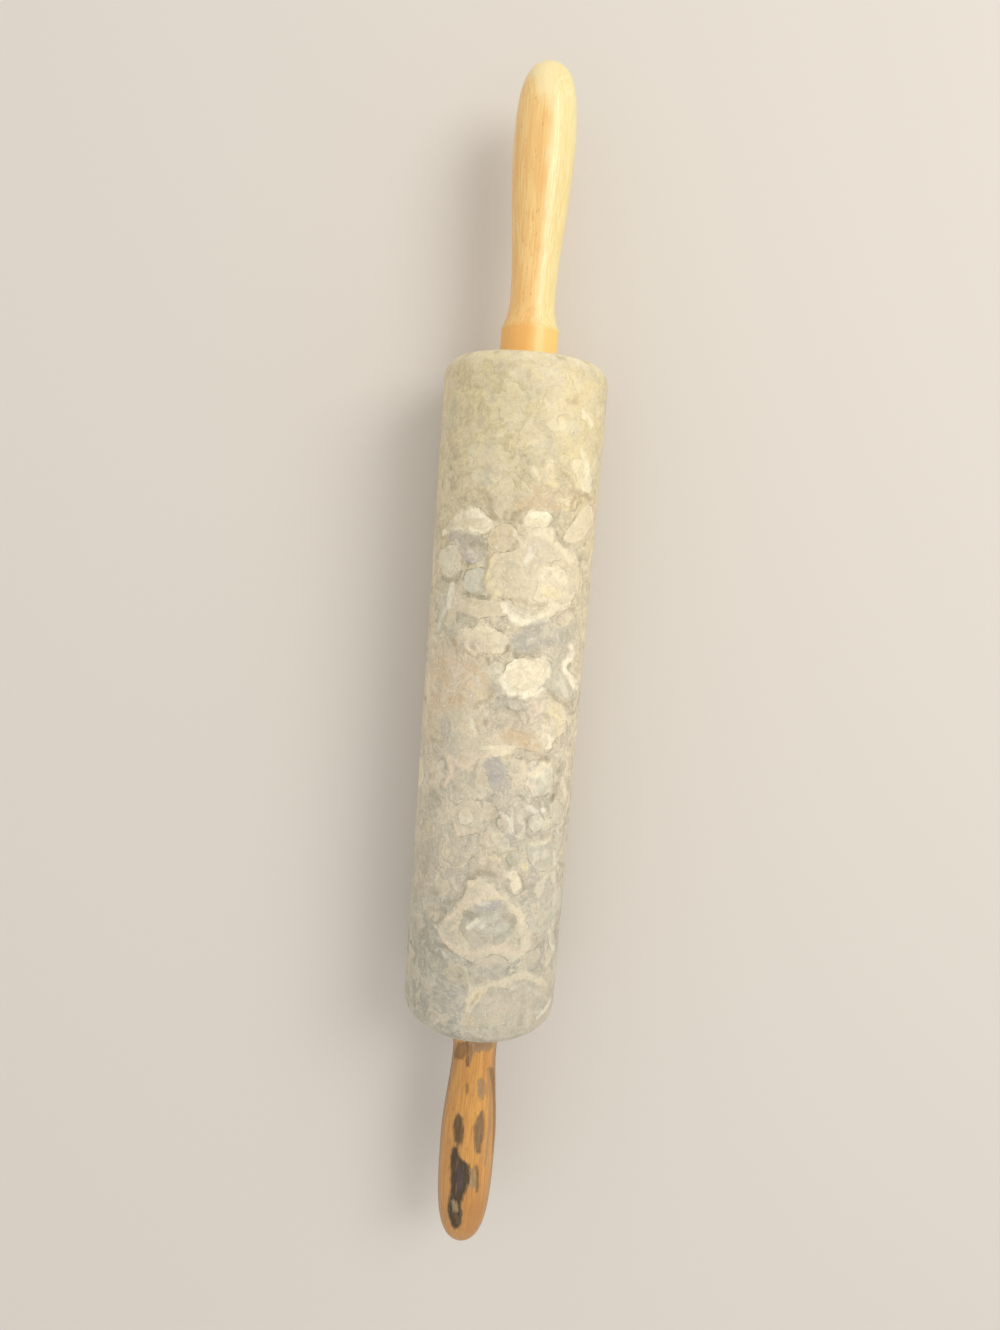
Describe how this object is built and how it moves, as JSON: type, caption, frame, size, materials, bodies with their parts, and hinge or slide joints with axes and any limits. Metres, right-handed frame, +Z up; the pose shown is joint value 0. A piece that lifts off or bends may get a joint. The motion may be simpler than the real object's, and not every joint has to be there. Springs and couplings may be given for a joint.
{
  "type": "marble rolling pin",
  "caption": "Thick marble roller with broadly rounded ends, turning freely on a steel rod between two turned wooden handles, for rolling out dough and pastry.",
  "frame": {"origin": "on the surface that the barrel rests on, under the middle of the barrel", "axes": "+X along the pin from the worn amber handle (left) to the light honey handle (right), +Y across the pin, +Z up from the resting surface"},
  "size_m": [0.4572, 0.06, 0.06],
  "materials": {
    "marble": "honed beige and grey marble with cream fossil-like clasts",
    "nylon": "natural white moulded nylon",
    "steel": "bright zinc-plated steel",
    "brass": "turned brass",
    "honey_wood": "light honey varnish",
    "amber_wood": "amber varnish with worn grey-brown patches"
  },
  "bodies": {
    "handles": {"axle_rod": "steel", "right_washer": "steel", "left_washer": "steel", "right_insert": "brass", "left_insert": "brass", "right_handle": "honey_wood", "left_handle": "amber_wood"},
    "barrel": {"marble_barrel": "marble", "right_bush": "nylon", "left_bush": "nylon"}
  },
  "joints": [
    {"name": "barrel_spin", "type": "hinge", "parent": "handles", "child": "barrel", "pos_m": [0, 0, 0.03], "axis": [1, 0, 0], "continuous": true}
  ]
}
